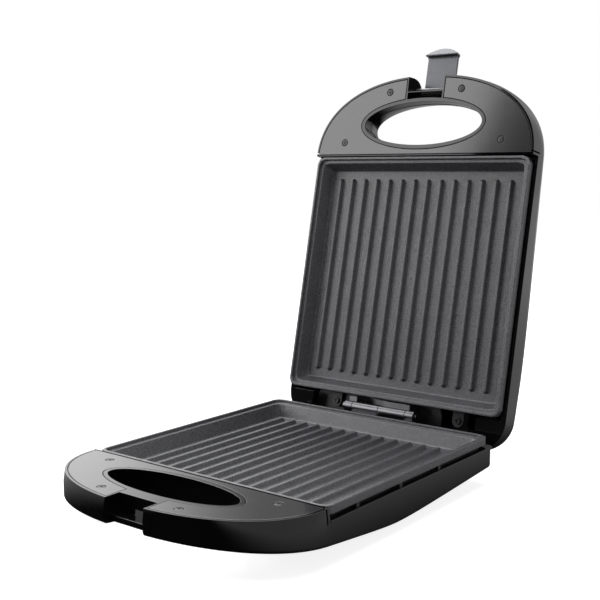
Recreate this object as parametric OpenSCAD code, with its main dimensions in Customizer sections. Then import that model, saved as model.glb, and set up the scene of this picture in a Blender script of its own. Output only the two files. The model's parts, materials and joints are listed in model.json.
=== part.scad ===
// Sandwich toaster: two ribbed grill plates in moulded housings that open like a book.
// The base and the lid are drawn as halves in one common way: the plate's rim lies at
// z = 0, its front edge at y = 0, and z grows outwards, away from the other plate.

/* [Grill plates] */
// Width of a plate across its skirt
plate_w = 240; // [210:1:270]
// Depth of a plate from front to back
plate_d = 239; // [210:1:270]
// Corner radius of a plate
plate_corner_r = 7; // [4:0.5:10]
// Height of the skirt around a plate
skirt_h = 7; // [5:0.5:8]
// Thickness of the cast plate
plate_t = 2.6; // [2:0.1:3.2]
// Width of the raised lip around the rim
lip_w = 2.6; // [2:0.1:3.4]
// Drop from the lip to the ledge inside it
ledge_drop = 3; // [2:0.5:4]
// Width of the rim from the skirt to the edge of the cavity
rim_w = 6; // [5.5:0.5:8]
// Depth of the cooking cavity below the lip
cavity_depth = 16; // [13:0.5:16.5]
// Run of the sloped cavity wall
slope_run = 5.2; // [4:0.2:7]
// Number of ribs on a plate
rib_count = 14; // [8:1:16]
// Distance from the plate's side to its first rib
rib_side = 23.2; // [20:0.2:30]
// Distance from the plate's front and back to the rib ends
rib_end = 19.4; // [17:0.2:30]
// Width of a rib at its foot
rib_w = 6; // [5:0.2:7]
// Height of a rib above the cavity floor
rib_h = 3.6; // [3:0.2:5]
// Radius of a rib's rounded crest
rib_crest_r = 1.1; // [0.8:0.1:1.4]

/* [Housings] */
// How far the housing wall stands outside the plate
side_margin = 3.5; // [3:0.5:6]
// Wall thickness of the housings
wall = 2.6; // [2:0.1:3.2]
// Drop from the plate rim to the top of the housing wall
wall_drop = 9; // [8:0.5:11]
// Thickness of the shelf under the plate's skirt
shelf_t = 2; // [1.6:0.2:3]
// Inward slope of the handle's rim edge
rim_draft = 1.2; // [0.8:0.2:3]
// Deepest point of the base below the plate rim
base_depth = 36; // [34:1:40]
// Depth of the base at the front of the handle
base_front_depth = 20; // [19:0.5:23]
// Depth of the base at its back wall
base_rear_depth = 27.5; // [27:0.5:32]
// Distance of the deepest point behind the plate's front edge
belly_y = 90; // [70:5:130]
// Edge radius of the base
base_edge_r = 3; // [2:0.5:5]
// Bead along the top of the base wall
bead = 0.8; // [0.4:0.1:1.2]
// Bead along the top of the base's back wall
rear_bead = 2.5; // [2:0.1:3]
// Highest point of the lid above its plate rim
lid_height = 41; // [38:1:48]
// Height of the lid at the front of the handle
lid_front_height = 28; // [27:0.5:32]
// Height of the lid at its back wall
lid_rear_height = 36; // [34:1:42]
// Distance of the lid's highest point behind the plate's front edge
crown_y = 190; // [150:5:210]
// Edge radius of the lid
lid_edge_r = 15; // [10:1:17]
// How far the lid housing reaches behind its plate
lid_overhang = 33; // [30:1:40]
// Corner radius at the back of the lid
lid_corner_r = 30; // [18:1:36]

/* [Handles] */
// How far the handles reach in front of the plates
handle_reach = 82; // [80:1:90]
// Roundness of the handle outline, 2 is an ellipse
handle_power = 2.15; // [2:0.05:2.5]
// Width of the finger hole
grip_w = 132; // [110:1:140]
// Depth of the finger hole
grip_d = 43; // [34:1:44]
// Distance of the finger hole's centre in front of the plates
grip_y = 33; // [30:0.5:34]
// Width of the raised ring around the finger hole
ring_w = 4; // [3:0.5:5]
// Thickness of the inlay panel
panel_t = 2; // [1.6:0.2:2.6]
// Gap around the inlay panel
panel_gap = 0.5; // [0.3:0.1:0.8]
// Width of the housing rim outside the inlay panel
panel_rim = 2.2; // [2:0.2:4]
// Side position of the two rear panel screws
screw_rear_x = 88.5; // [84:0.5:92]
// Distance of the rear panel screws in front of the plates
screw_rear_y = 15; // [12:0.5:18]
// Side position of the two front panel screws
screw_front_x = 40.4; // [36:0.2:46]
// Distance of the front panel screws behind the handle's front
screw_front_in = 16.5; // [15:0.5:18]
// Width of the latch notch
notch_w = 40; // [38:1:46]
// Depth of the notch from the handle's front
notch_depth = 16; // [15:0.5:17]
// Depth of the notch's ledge in the base
ledge_z = 14.3; // [13:0.1:15]

/* [Hinge] */
// Distance of the hinge axis behind the plates
hinge_back = 14; // [13:0.5:18]
// Height of the hinge axis above the base plate's rim
hinge_up = 0.9; // [0:0.1:2]
// Outer diameter of the hinge barrels
barrel_d = 10.6; // [9:0.2:11]
// Diameter of the hinge pin
pin_d = 5; // [4:0.5:6]
// Angle of the open lid
open_angle = 102.5; // [90:0.5:105]
// Gap between the two plates when closed
lid_gap = 1.5; // [1:0.1:3]
// How far the lid sits behind the base when closed
lid_setback = 2.5; // [0:0.5:3]
// Centre of the hinge, left of the middle
hinge_shift = -4.4; // [-10:0.1:10]

/* [Latch] */
// Distance of the latch axis behind the handle's front
latch_in = 13; // [12:0.1:13.5]
// Height of the latch axis in the lid
latch_z = 16.5; // [16:0.1:17.5]
// Distance from the latch axis to the blade
latch_arm = 10.5; // [10:0.1:11]
// Length from the latch axis to the hook
latch_hook = 38.2; // [38:0.1:40]
// Length from the latch axis to the tip of the tab
latch_len = 46.5; // [44:0.5:52]
// Width of the blade
latch_w = 34; // [30:0.2:36]
// Thickness of the blade
latch_t = 2.4; // [2:0.2:2.8]
// Reach of the hook's lip
hook_reach = 5; // [4:0.2:5.4]
// Diameter of the latch pin
latch_pin_d = 3; // [2.5:0.1:3.5]

/* [Feet] */
// Height of the plate rim above the table
stand_h = 44; // [42:0.5:50]
// Side position of the feet
foot_x = 75; // [65:1:80]
// Distance of the front feet behind the plate's front edge
foot_front_y = 30; // [24:1:34]
// Distance of the rear feet in front of the plate's back edge
foot_rear_y = 19; // [18:0.5:22]
// Diameter of a rubber foot
foot_d = 15; // [12:0.5:16]
// Height of a rubber foot that shows
foot_h = 3.5; // [2:0.5:4]

/* [Inside] */
// Diameter of the heating tube
tube_d = 6.5; // [6:0.1:7]
// Side position of the tube's long runs
tube_x = 60; // [55:1:62]
// Bend radius of the tube's centre line
tube_bend = 22; // [18:1:26]
// Distance of the tube's front run behind the plate's front edge
tube_front = 48; // [45:1:60]
// Distance of the tube's ends in front of the plate's back edge
tube_rear = 29; // [28:1:34]
// Thickness of the reflector sheet
sheet_t = 0.8; // [0.6:0.1:1]
// Thickness of the element clamps
clamp_t = 1.1; // [0.8:0.1:1.4]
// Gap between the element clamps and the reflector
sheet_gap = 0.3; // [0.2:0.1:1]

/* [Hidden] */

$fn = 48;
seat = 0.05;        // play between pieces that bear on each other
fit = 0.05;         // radial clearance of a pin in its bore
cut = 1;            // overlap of a cutting body past the face that it cuts
nose_steps = 48;    // segments of the handle outline
corner_steps = 8;   // segments of a rear corner
belly_steps = 24;   // segments along the base and lid profiles
belly_soft = 2;     // softness of the turn at the deepest point
housing_colour = [0.09, 0.09, 0.1];
panel_colour = [0.3, 0.3, 0.32];
plate_colour = [0.25, 0.25, 0.27];
metal_colour = [0.5, 0.5, 0.52];
steel_colour = [0.75, 0.75, 0.76];
rubber_colour = [0.13, 0.13, 0.13];

half_w = plate_w / 2 + side_margin;
base_rear = plate_d - 0.5;
base_corner_r = 4;
lid_rear = plate_d + lid_overhang;
floor_z = cavity_depth + plate_t;          // underside of a plate
// width of the shelf from the housing's side to the plate's tub
shelf_in = side_margin + rim_w - plate_t - 0.5
    + slope_run * (wall_drop - ledge_drop) / (floor_z - ledge_drop);
rib_pitch = (plate_w - 2 * rib_side) / (rib_count - 1);
hinge_y = plate_d + hinge_back;
hinge_gap = 0.4;                           // gap between neighbouring barrels
short_barrel = 9;
long_barrel = 30;
hinge_half = short_barrel + long_barrel + 1.5 * hinge_gap;
hinge_left = hinge_shift - hinge_half;
foot_rows = [foot_front_y, plate_d - foot_rear_y];
boss_d = 8;
screw_d = 3.4;
notch_y = handle_reach - notch_depth;
latch_y = handle_reach - latch_in;
screw_front_y = handle_reach - screw_front_in;
panel_screws = [[-screw_rear_x, -screw_rear_y], [screw_rear_x, -screw_rear_y],
    [-screw_front_x, -screw_front_y], [screw_front_x, -screw_front_y]];
tube_z = floor_z + seat + tube_d / 2;
sheet_z = tube_z + tube_d / 2 + clamp_t + sheet_gap;
sheet_post_x = 38;
sheet_post_front = 47.5;
sheet_post_back = 50.5;
sheet_posts = [for (x = [-sheet_post_x, sheet_post_x],
    y = [plate_d / 2 - sheet_post_front, plate_d / 2 + sheet_post_back]) [x, y]];
sheet_post_d = 7;
clamp_w = 10;
fuse_y = plate_d / 2 + 34;
nub_rows = [36, 94, 152];
tab_x = 70;
tab_y = plate_d + 9.5;
tab_w = 12;
tab_t = 1.6;
bracket_z = floor_z + 2.4 + tab_t;         // near face of the lid's hinge bracket
lamp_x = 13;
lamp_y = 24;
lamp_d = 7;
gland_y = plate_d - 36;
gland_z = 19;
gland_d = 9;

// Where a point of the closed lid lies once the lid is open, measured along y
function open_y(y, z) = hinge_y + (y + lid_setback - hinge_y) * cos(open_angle)
    + (z + lid_gap - hinge_up) * sin(open_angle);
back_reach = open_y(-latch_y - latch_len, latch_z + latch_arm + latch_t / 2);
front_reach = handle_reach * pow(1 - pow(notch_w / 2 / half_w, handle_power), 1 / handle_power);
mid_y = (back_reach - front_reach) / 2;

// The rounded front of a handle, from its left side to its right side
function nose(a, b) = [for (i = [0 : nose_steps]) let (t = 180 * i / nose_steps)
    [-a * sign(cos(t)) * pow(abs(cos(t)), 2 / handle_power), -b * pow(sin(t), 2 / handle_power)]];
function corner(x, y, r, from) = [for (i = [0 : corner_steps]) let (t = from + 90 * i / corner_steps)
    [x + r * cos(t), y + r * sin(t)]];
// Outline of a housing seen from above, drawn in by an inset
function outline(inset, rear, corner_r) =
    let (a = half_w - inset, back = rear - inset, r = max(corner_r - inset, 1))
    concat(nose(a, handle_reach - inset), corner(a - r, back - r, r, 0), corner(r - a, back - r, r, 90));
function ellipse(a, b) = [for (i = [0 : nose_steps - 1]) let (t = 360 * i / nose_steps)
    [a * cos(t), b * sin(t)]];
// How much a housing loses in depth, away from its deepest point
function fall(t, len, drop) = let (m = sqrt(drop * drop + 2 * drop * belly_soft) / len)
    sqrt(m * m * t * t + belly_soft * belly_soft) - belly_soft;
function depth(y, peak_y, peak, front, rear, rear_y) = y < peak_y
    ? peak - fall(y - peak_y, peak_y + handle_reach, peak - front)
    : peak - fall(y - peak_y, rear_y - peak_y, peak - rear);
function profile(peak_y, peak, front, rear, rear_y) = [for (i = [0 : belly_steps])
    let (y = -handle_reach + (rear_y + handle_reach) * i / belly_steps)
    [y, depth(y, peak_y, peak, front, rear, rear_y)]];
base_profile = profile(belly_y, base_depth, base_front_depth, base_rear_depth, base_rear);
lid_profile = profile(crown_y, lid_height, lid_front_height, lid_rear_height, lid_rear);
function base_z(y) = depth(y, belly_y, base_depth, base_front_depth, base_rear_depth, base_rear);
function lid_z(y) = depth(y, crown_y, lid_height, lid_front_height, lid_rear_height, lid_rear);

// ---------- Places ----------
module at_base() translate([0, -mid_y, stand_h]) children();
module on_base() at_base() mirror([0, 0, 1]) children();
module at_lid() at_base() translate([0, hinge_y, hinge_up]) rotate([-open_angle, 0, 0])
    translate([0, lid_setback - hinge_y, lid_gap - hinge_up]) children();
module both_sides() { children(); mirror([1, 0, 0]) children(); }
module bar_x(x0, x1, y, z, d) translate([x0, y, z]) rotate([0, 90, 0]) cylinder(d = d, h = x1 - x0);
module block(low, high) translate(low) cube(high - low);

// ---------- Shapes that both halves share ----------
module slab(points, drop) rotate([90, 0, 90])
    linear_extrude(4 * half_w, center = true)
    polygon(concat([[points[0][0] - cut, 0]], [[points[0][0] - cut, points[0][1] - drop]],
        [for (p = points) [p[0], p[1] - drop]],
        [[points[belly_steps][0] + cut, points[belly_steps][1] - drop]],
        [[points[belly_steps][0] + cut, 0]]));

module skin(points, rear, corner_r, edge_r, inset = 0)
    hull() {
        linear_extrude(0.4) polygon(outline(rim_draft + inset, rear, corner_r));
        for (a = [0 : 30 : 90])
            intersection() {
                translate([0, 0, wall_drop]) linear_extrude(lid_height + base_depth)
                    polygon(outline(inset + (edge_r - inset) * (1 - cos(a)), rear, corner_r));
                slab(points, inset + (edge_r - inset) * (1 - sin(a)));
            }
    }

module round_rect(x0, y0, x1, y1, r) {
    translate([x0 + r, y0]) square([x1 - x0 - 2 * r, y1 - y0]);
    translate([x0, y0 + r]) square([x1 - x0, y1 - y0 - 2 * r]);
    for (x = [x0 + r, x1 - r], y = [y0 + r, y1 - r]) translate([x, y]) circle(r);
}

// Outline of a plate, drawn in by an inset
module plate_shape(inset) round_rect(inset - plate_w / 2, inset, plate_w / 2 - inset,
    plate_d - inset, max(plate_corner_r - inset / 2, 3));

module grip_shape(grow) translate([0, -grip_y]) polygon(ellipse(grip_w / 2 + grow, grip_d / 2 + grow));

// Where the inlay panel lies, drawn in by an inset
module panel_shape(inset) difference() {
    intersection() {
        polygon(outline(rim_draft + panel_rim + inset, base_rear, base_corner_r));
        translate([-plate_w, -handle_reach]) square([2 * plate_w, handle_reach - 1.4 - inset]);
    }
    grip_shape(ring_w + inset);
    translate([-notch_w / 2 - 1.4 - inset, -handle_reach])
        square([notch_w + 2.8 + 2 * inset, handle_reach - grip_y]);
}

module handle_pocket(points) intersection() {
    translate([0, 0, panel_t]) linear_extrude(lid_height) difference() {
        intersection() {
            polygon(outline(rim_draft + panel_rim + 2.5, base_rear, base_corner_r));
            translate([-plate_w, -handle_reach]) square([2 * plate_w, handle_reach - 5]);
        }
        grip_shape(ring_w);
        translate([-notch_w / 2 - 5, -handle_reach]) square([notch_w + 10, handle_reach - grip_y]);
        for (p = panel_screws) translate(p) circle(d = boss_d);
    }
    slab(points, wall + 4);
}

// A moulded housing with its handle, before the pieces that only one half has
module housing(points, rear, corner_r, edge_r) {
    difference() {
        skin(points, rear, corner_r, edge_r);
        // room inside the body
        intersection() {
            skin(points, rear, corner_r, edge_r, wall);
            block([-half_w, cut, wall_drop + shelf_t], [half_w, rear, lid_height]);
        }
        // the wall stops below the plate's rim
        block([-2 * half_w, -cut, -cut], [2 * half_w, rear + cut, wall_drop]);
        // opening in the shelf for the plate
        block([shelf_in - half_w, 5, 0], [half_w - shelf_in, plate_d - 5, wall_drop + shelf_t + cut]);
        // handle: finger hole, seat of the inlay panel, room under it
        translate([0, 0, -cut]) linear_extrude(lid_height) grip_shape(0);
        translate([0, 0, -cut]) linear_extrude(panel_t + cut) panel_shape(0);
        handle_pocket(points);
        for (p = panel_screws) translate(p) cylinder(d = screw_d - 0.6, h = panel_t + 8);
        // slot where the handle meets the plate's skirt
        both_sides() block([plate_w / 2 - 4, -4.6, -cut], [half_w + cut, -3.3, wall_drop + 2.5]);
    }
    // spacer nubs that carry the plate's skirt
    both_sides() for (y = nub_rows)
        block([plate_w / 2 - 3, y, skirt_h], [plate_w / 2 - 0.2, y + 4, wall_drop + seat]);
}

module handle_panel() difference() {
    linear_extrude(panel_t - seat) panel_shape(panel_gap);
    for (p = panel_screws) translate(p) {
        translate([0, 0, -cut]) cylinder(d = screw_d + 0.4, h = panel_t + 2 * cut);
        translate([0, 0, -cut]) cylinder(d = 7.2, h = cut + 0.9);
    }
}

// Cross-recessed screw with its head at z = 0 and its shank pointing outwards
module screw(head_d, head_h, shank_d, len) difference() {
    union() {
        cylinder(d = head_d, h = head_h);
        cylinder(d = shank_d, h = len);
    }
    for (a = [0, 90]) rotate(a) block([-head_d * 0.3, -0.4, -cut], [head_d * 0.3, 0.4, head_h * 0.7]);
}
module panel_screw_set() for (p = panel_screws)
    translate([p[0], p[1], 0.15]) screw(6.6, 0.75 - seat, screw_d - 0.65, panel_t + 7);

// ---------- Grill plate ----------
module rib() intersection() {
    translate([0, plate_d - rib_end, cavity_depth + 0.2]) rotate([90, 0, 0])
        linear_extrude(plate_d - 2 * rib_end) {
            polygon([[-rib_w / 2, 0], [rib_w / 2, 0], [rib_crest_r, rib_crest_r - rib_h],
                [-rib_crest_r, rib_crest_r - rib_h]]);
            translate([0, rib_crest_r - rib_h]) circle(rib_crest_r);
        }
    rotate([90, 0, 90]) linear_extrude(rib_w + 2, center = true)
        polygon([[rib_end, cavity_depth + cut], [rib_end + rib_h * 1.1, cavity_depth - rib_h - cut / 2],
            [plate_d - rib_end - rib_h * 1.1, cavity_depth - rib_h - cut / 2],
            [plate_d - rib_end, cavity_depth + cut]]);
}

// The tapered tub of the cavity, or the body around it
module tub(grow, top, bottom) hull() {
    translate([0, 0, top]) linear_extrude(0.01) plate_shape(rim_w - grow);
    translate([0, 0, bottom - 0.01]) linear_extrude(0.01) plate_shape(rim_w + slope_run - grow);
}

module grill_plate() {
    difference() {
        union() {
            linear_extrude(ledge_drop + plate_t) plate_shape(0);
            linear_extrude(skirt_h) difference() { plate_shape(0); plate_shape(lip_w); }
            tub(plate_t, ledge_drop, floor_z);
            for (x = [-foot_x, foot_x], y = foot_rows) translate([x, y, floor_z - cut])
                cylinder(d = boss_d, h = 6 + cut);
            for (p = sheet_posts) translate([p[0], p[1], floor_z - cut])
                cylinder(d = sheet_post_d, h = sheet_z - floor_z - seat + cut);
        }
        translate([0, 0, -cut]) linear_extrude(ledge_drop + cut) plate_shape(lip_w);
        tub(0, ledge_drop - 0.01, cavity_depth);
        for (x = [-foot_x, foot_x], y = foot_rows) translate([x, y, floor_z + 0.5])
            cylinder(d = screw_d - 0.5, h = 10);
        for (p = sheet_posts) translate([p[0], p[1], floor_z + 0.5]) cylinder(d = 2.5, h = 20);
    }
    for (i = [0 : rib_count - 1]) translate([rib_side - plate_w / 2 + i * rib_pitch, 0, 0]) rib();
}

// ---------- Heating element, its clamps and reflector ----------
module tube_corner(x, y, from) translate([x, y, tube_z]) rotate(from)
    rotate_extrude(angle = 90) translate([tube_bend, 0]) circle(d = tube_d);

module heating_element() {
    end_y = plate_d - tube_rear;
    run_y = end_y - tube_bend;
    both_sides() {
        tube_corner(tube_x - tube_bend, tube_front + tube_bend, 270);
        tube_corner(tube_x - tube_bend, run_y, 0);
        translate([tube_x, tube_front + tube_bend, tube_z]) rotate([-90, 0, 0])
            cylinder(d = tube_d, h = run_y - tube_front - tube_bend);
        bar_x(16, tube_x - tube_bend, end_y, tube_z, tube_d);
        bar_x(8, 16, end_y, tube_z, 2.6);
    }
    bar_x(tube_bend - tube_x, tube_x - tube_bend, tube_front, tube_z, tube_d);
}

module element_clamps() both_sides() for (y = [96, plate_d - 93]) translate([tube_x, y, tube_z])
    difference() {
        union() {
            rotate([90, 0, 0]) cylinder(d = tube_d + 2 * clamp_t, h = clamp_w, center = true);
            block([-tube_d / 2 - clamp_t, -clamp_w / 2, seat - tube_d / 2],
                [tube_d / 2 + clamp_t, clamp_w / 2, 0]);
            block([-9, -clamp_w / 2, seat - tube_d / 2], [9, clamp_w / 2, clamp_t - tube_d / 2]);
        }
        rotate([90, 0, 0]) cylinder(d = tube_d + 0.1, h = 12, center = true);
        block([-tube_d / 2 - 0.05, -6, -tube_d], [tube_d / 2 + 0.05, 6, 0]);
        block([-20, -6, -2 * tube_d], [20, 6, seat - tube_d / 2]);
    }

module reflector() {
    x = 92;
    y0 = 42;
    y1 = plate_d - 50;
    difference() {
        translate([0, 0, sheet_z]) linear_extrude(sheet_t) round_rect(-x, y0, x, y1, 8);
        for (p = sheet_posts) translate([p[0], p[1], sheet_z - cut]) cylinder(d = 3, h = 4);
        // vent slots over the thermostat
        for (i = [-3 : 3]) block([i * 9 - 1.5, plate_d / 2 - 14, sheet_z - cut],
            [i * 9 + 1.5, plate_d / 2 + 14, sheet_z + 4]);
    }
    // folded edges that stiffen the sheet
    both_sides() block([x - sheet_t, y0 + 8, sheet_z - 4], [x, y1 - 8, sheet_z + sheet_t / 2]);
}

module reflector_screws() for (p = sheet_posts)
    translate([p[0], p[1], sheet_z + sheet_t + 1.6 + seat]) mirror([0, 0, 1])
        screw(5.6, 1.6, 2.4, 7);

module fuse(x, y) translate([x, y, floor_z + seat]) {
    translate([0, 0, 2]) rotate([-90, 0, 0]) cylinder(d = 4, h = 12, center = true);
    translate([0, 0, 2]) rotate([-90, 0, 0]) cylinder(d = 1, h = 24, center = true);
    difference() {
        block([-8, -3, 0], [8, 3, 5]);
        block([-9, -4, 1], [-3.2, 4, 6]);
        block([3.2, -4, 1], [9, 4, 6]);
    }
}

// ---------- Base ----------
module base_housing() color(housing_colour) on_base() difference() {
    union() {
        housing(base_profile, base_rear, base_corner_r, base_edge_r);
        // bead along the top of the wall
        intersection() {
            translate([0, 0, wall_drop]) linear_extrude(1.6) difference() {
                polygon(outline(-bead, base_rear + rear_bead - bead, base_corner_r));
                polygon(outline(1, base_rear, base_corner_r));
            }
            block([-2 * half_w, -1, 0], [2 * half_w, base_rear + 4, lid_height]);
        }
        // posts for the case screws, inside and under the feet
        for (x = [-foot_x, foot_x], y = foot_rows) translate([x, y, 0]) {
            translate([0, 0, floor_z + 6 + seat]) cylinder(d = boss_d, h = base_z(y) - floor_z - 7);
            translate([0, 0, base_z(y) - wall])
                cylinder(d1 = foot_d + 6, d2 = foot_d + 3, h = stand_h - foot_h - base_z(y) + wall);
        }
    }
    // pockets of the rubber feet and bores of the case screws
    for (x = [-foot_x, foot_x], y = foot_rows) translate([x, y, 0]) {
        translate([0, 0, floor_z]) cylinder(d = screw_d + 0.3, h = stand_h);
        translate([0, 0, base_z(y) + 1]) cylinder(d = 7.6, h = stand_h);
        translate([0, 0, stand_h - foot_h - 2]) cylinder(d = foot_d + 0.3, h = foot_h + 4);
    }
    // latch notch with its ledge, and the relief under the ledge for the hook
    block([-notch_w / 2, -2 * handle_reach, -cut], [notch_w / 2, -notch_y, ledge_z]);
    block([-notch_w / 2, -2 * handle_reach, -cut], [notch_w / 2, -notch_y - 9.5, lid_height]);
    block([-notch_w / 2, -2 * handle_reach, 19], [notch_w / 2, -notch_y - 3, lid_height]);
    // cord inlet in the left side, near the back
    translate([-half_w, gland_y, gland_z]) rotate([0, 90, 0])
        cylinder(d = gland_d + 2 * fit, h = 2 * (wall + 5), center = true);
    // holes of the hinge screws
    for (x = hinge_screw_x) translate([x, base_rear - wall - 4, hinge_screw_z]) rotate([-90, 0, 0])
        cylinder(d = 3, h = wall + 8);
}

module base_handle_panel() color(panel_colour) on_base() handle_panel();
module base_panel_screws() color(steel_colour) on_base() panel_screw_set();
module base_grill_plate() color(plate_colour) on_base() grill_plate();
module base_heating_element() color(steel_colour) on_base() heating_element();
module base_element_clamps() color(steel_colour) on_base() element_clamps();
module base_reflector() color(steel_colour) on_base() reflector();
module base_reflector_screws() color(steel_colour) on_base() reflector_screws();

module base_case_screws() color(steel_colour) on_base()
    for (x = [-foot_x, foot_x], y = foot_rows) translate([x, y, base_z(y) + 1 + 2]) mirror([0, 0, 1])
        screw(6.6, 2, screw_d - 0.55, base_z(y) + 3 - floor_z - 1.5);

module base_feet() color(rubber_colour) on_base()
    for (x = [-foot_x, foot_x], y = foot_rows) translate([x, y, stand_h - foot_h - 2 + seat])
        difference() {
            union() {
                cylinder(d = foot_d, h = foot_h + 1);
                cylinder(d = foot_d - 2, h = foot_h + 2 - seat);
            }
            translate([0, 0, -cut]) cylinder(d = 6, h = foot_h + 2);
        }

// ---------- Hinge ----------
hinge_screw_x = [hinge_left + 12, hinge_shift + 26];
hinge_screw_z = 18.5;
leaf_t = 2.4;
base_barrels = [[hinge_left + short_barrel + hinge_gap, long_barrel],
    [hinge_left + 2 * hinge_half - short_barrel, short_barrel]];
lid_barrels = [[hinge_left, short_barrel],
    [hinge_left + short_barrel + long_barrel + 2 * hinge_gap, long_barrel]];

module barrels(list, y, z) for (b = list) bar_x(b[0], b[0] + b[1], y, z, barrel_d);
module pin_bore(y, z) bar_x(hinge_left - cut, hinge_left + 2 * hinge_half + cut, y, z, pin_d + 2 * fit);

module base_hinge_leaf() color(metal_colour) at_base() difference() {
    y0 = base_rear + seat;
    arm_y = base_rear + rear_bead + 2 * seat;
    under = hinge_up - barrel_d / 2;
    union() {
        barrels(base_barrels, hinge_y, hinge_up);
        // flat leaf against the back wall, under the bead
        block([hinge_left + 2, y0, 4 - base_rear_depth],
            [hinge_left + 2 * hinge_half - 2, arm_y + leaf_t, -wall_drop - 2]);
        // arms that reach up and back to the barrels
        for (b = base_barrels) {
            block([b[0], arm_y, -wall_drop - 4], [b[0] + b[1], arm_y + leaf_t, under + leaf_t]);
            block([b[0], arm_y, under], [b[0] + b[1], hinge_y, under + leaf_t]);
        }
    }
    pin_bore(hinge_y, hinge_up);
    for (x = hinge_screw_x) translate([x, y0 - cut, -hinge_screw_z]) rotate([-90, 0, 0])
        cylinder(d = 3.4, h = 10);
}

module base_hinge_screws() color(steel_colour) at_base()
    for (x = hinge_screw_x)
        translate([x, base_rear + rear_bead + leaf_t + 1.8 + 3 * seat, -hinge_screw_z])
        rotate([90, 0, 0]) screw(6, 1.8, 2.9, 12);

module hinge_pin() color(steel_colour) at_base() {
    bar_x(hinge_left - 1, hinge_left + 2 * hinge_half + 2, hinge_y, hinge_up, pin_d);
    bar_x(hinge_left - 2.4, hinge_left - 0.4, hinge_y, hinge_up, pin_d + 2.4);
}

module lid_hinge_leaf() color(metal_colour) at_lid() difference() {
    y = hinge_y - lid_setback;
    z = hinge_up - lid_gap;
    union() {
        barrels(lid_barrels, y, z);
        for (b = lid_barrels)
            block([b[0], y - 10, z + barrel_d / 2 - 1.5], [b[0] + b[1], y + 2, bracket_z - seat]);
        block([hinge_left, y - 10, bracket_z - 4],
            [hinge_left + 2 * hinge_half - short_barrel - 1, y - 2, bracket_z - seat]);
    }
    pin_bore(y, z);
}

// ---------- Electrical pieces of the base ----------
module thermostat() color(steel_colour) on_base() translate([0, plate_d / 2, floor_z + seat]) {
    cylinder(d = 16, h = 5);
    difference() {
        block([-14, -4, 0], [14, 4, 0.8]);
        for (x = [-11.5, 11.5]) translate([x, 0, -cut]) cylinder(d = 3, h = 3);
    }
    for (x = [-5, 5]) block([x - 0.4, -2.4, 4], [x + 0.4, 2.4, 7]);
}
module thermal_fuse() color(steel_colour) on_base() fuse(0, fuse_y);

module terminal_block() color("ivory") on_base() {
    y = plate_d - 21;
    z = base_z(y + 10) - wall - seat;
    low = floor_z + 0.5;
    difference() {
        block([6, y, low], [36, y + 11, z]);
        for (i = [0 : 2]) {
            translate([11 + i * 10, y - cut, (low + z) / 2]) rotate([-90, 0, 0]) cylinder(d = 3, h = 13);
            translate([11 + i * 10, y + 5.5, low - cut]) cylinder(d = 4, h = 4);
        }
    }
}

module cord_gland() color(rubber_colour) on_base() translate([-half_w, gland_y, gland_z])
    rotate([0, 90, 0]) difference() {
        union() {
            translate([0, 0, -bead]) cylinder(d = gland_d + 4, h = bead - seat);
            translate([0, 0, -bead / 2]) cylinder(d = gland_d, h = wall + 3);
            translate([0, 0, wall + seat]) cylinder(d = gland_d + 2.4, h = 3);
        }
        translate([0, 0, -4]) cylinder(d = 6.6, h = wall + 9);
    }

// ---------- Lid ----------
module lid_housing() color(housing_colour) at_lid() difference() {
    union() {
        housing(lid_profile, lid_rear, lid_corner_r, lid_edge_r);
        // posts of the plate tabs and the hinge bracket, up to the lid's top wall
        intersection() {
            union() {
                for (x = [-tab_x, tab_x]) translate([x, tab_y, floor_z + 0.2 + tab_t + 2 * seat])
                    cylinder(d = boss_d, h = lid_height);
                for (x = bracket_screw_x) translate([x, bracket_screw_y, bracket_z + 2 + seat])
                    cylinder(d = boss_d, h = lid_height);
            }
            skin(lid_profile, lid_rear, lid_corner_r, lid_edge_r, wall / 2);
        }
    }
    // the rear pocket is open over its full width
    for (b = [[half_w - wall - 3, lid_corner_r], [half_w - lid_corner_r, wall]])
        block([-b[0], plate_d - 6, 0], [b[0], lid_rear - b[1], wall_drop + shelf_t + cut]);
    // latch notch, open to the front and the top
    block([-notch_w / 2, -2 * handle_reach, -cut], [notch_w / 2, -notch_y + 0.6, 2 * lid_height]);
    // slot between the notch and the ring
    difference() {
        block([-notch_w / 2 + 0.6, -notch_y + 2, -cut], [notch_w / 2 - 0.6, -grip_y, 12]);
        translate([0, 0, -2 * cut]) linear_extrude(20) grip_shape(ring_w);
    }
    bar_x(-notch_w / 2 - 4, notch_w / 2 + 4, -latch_y, latch_z, latch_pin_d + 2 * fit);
    for (x = [-tab_x, tab_x]) translate([x, tab_y, floor_z]) cylinder(d = 2.8, h = 12);
    for (x = bracket_screw_x) translate([x, bracket_screw_y, bracket_z]) cylinder(d = 2.8, h = 10);
    for (x = [-lamp_x, lamp_x]) translate([x, lamp_y, floor_z])
        cylinder(d = lamp_d + 0.3, h = 2 * lid_height);
}

module lid_handle_panel() color(panel_colour) at_lid() handle_panel();
module lid_panel_screws() color(steel_colour) at_lid() panel_screw_set();
module lid_grill_plate() color(plate_colour) at_lid() grill_plate();
module lid_heating_element() color(steel_colour) at_lid() heating_element();
module lid_element_clamps() color(steel_colour) at_lid() element_clamps();
module lid_reflector() color(steel_colour) at_lid() reflector();
module lid_reflector_screws() color(steel_colour) at_lid() reflector_screws();
module lid_thermal_fuse() color(steel_colour) at_lid() fuse(0, fuse_y);

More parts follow.
